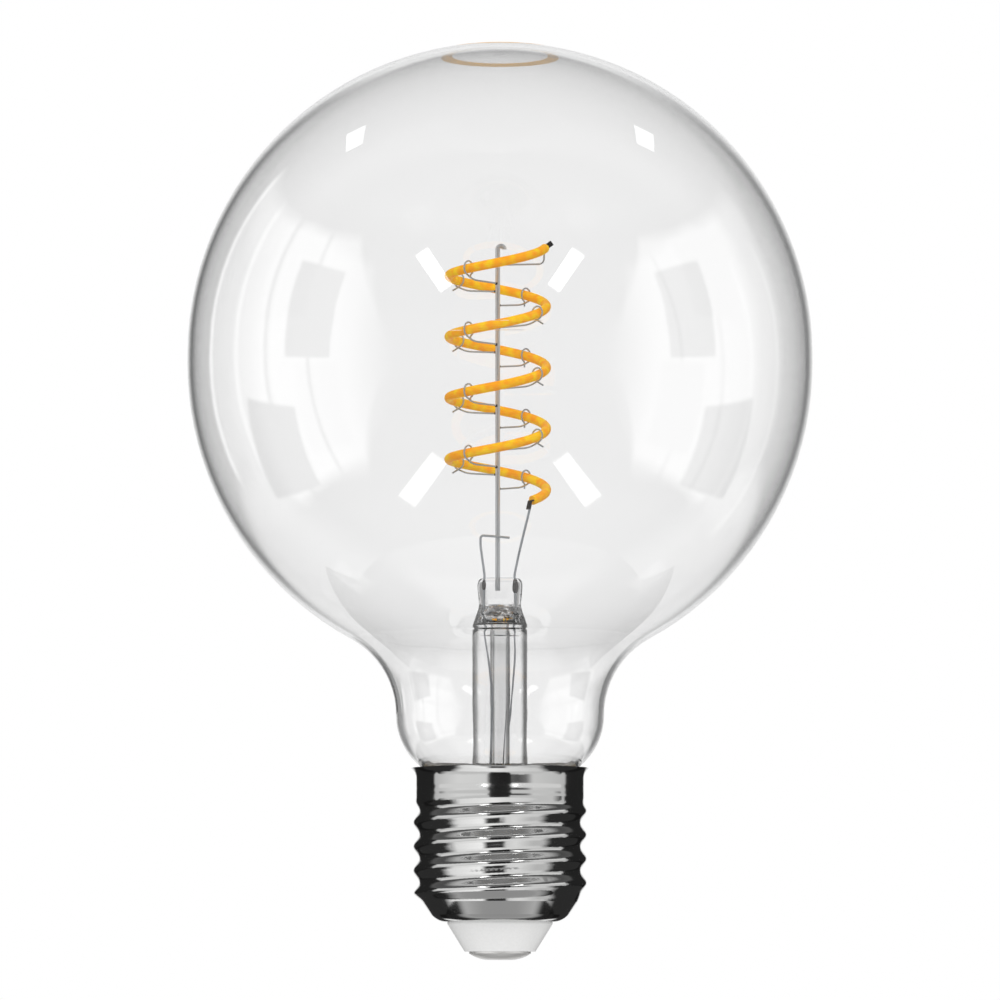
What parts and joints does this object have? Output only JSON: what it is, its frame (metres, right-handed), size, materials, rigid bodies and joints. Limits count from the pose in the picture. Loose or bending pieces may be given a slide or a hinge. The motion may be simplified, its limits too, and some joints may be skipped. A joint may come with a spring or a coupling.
{
  "type": "globe bulb",
  "caption": "Clear glass globe bulb with a spiral LED filament on a hooked post, glass mount, driver and a screw cap.",
  "frame": {"origin": "on the bulb's axis, at the outer face of the centre contact at the bottom of the cap", "axes": "+Z along the bulb's axis from the cap to the globe; -Y faces the viewer of the picture and +X is to the right"},
  "size_m": [0.095, 0.095, 0.1392],
  "materials": {
    "clear_glass": "gloss",
    "nickel_plate": "gloss",
    "white_insulator": "satin",
    "wire": "satin",
    "phosphor": "satin",
    "terminal": "satin",
    "cement": "matte",
    "circuit_board": "satin",
    "black_package": "matte",
    "capacitor_can": "satin",
    "resistor_body": "satin"
  },
  "bodies": {
    "root": {"glass_globe": "clear_glass", "stem_flare": "clear_glass", "exhaust_tube": "clear_glass", "centre_rod": "wire", "support_hook_01": "wire", "support_hook_02": "wire", "support_hook_03": "wire", "support_hook_04": "wire", "support_hook_05": "wire", "support_hook_06": "wire", "support_hook_07": "wire", "support_hook_08": "wire", "support_hook_09": "wire", "support_hook_10": "wire", "support_hook_11": "wire", "support_hook_12": "wire", "support_hook_13": "wire", "support_hook_14": "wire", "support_hook_15": "wire", "top_link_wire": "wire", "led_filament": "phosphor", "filament_terminal_top": "terminal", "filament_terminal_bottom": "terminal", "lead_wire_left": "wire", "lead_wire_right": "wire", "cap_shell": "nickel_plate", "cap_insulator": "white_insulator", "centre_contact": "nickel_plate", "basing_cement": "cement", "driver_board": "circuit_board", "smoothing_capacitor": "capacitor_can", "fusible_resistor": "resistor_body", "bridge_rectifier": "black_package", "driver_chip": "black_package", "sense_resistor_1": "black_package", "sense_resistor_2": "black_package", "chip_capacitor": "resistor_body", "contact_wire": "wire", "shell_wire": "wire"}
  },
  "joints": []
}
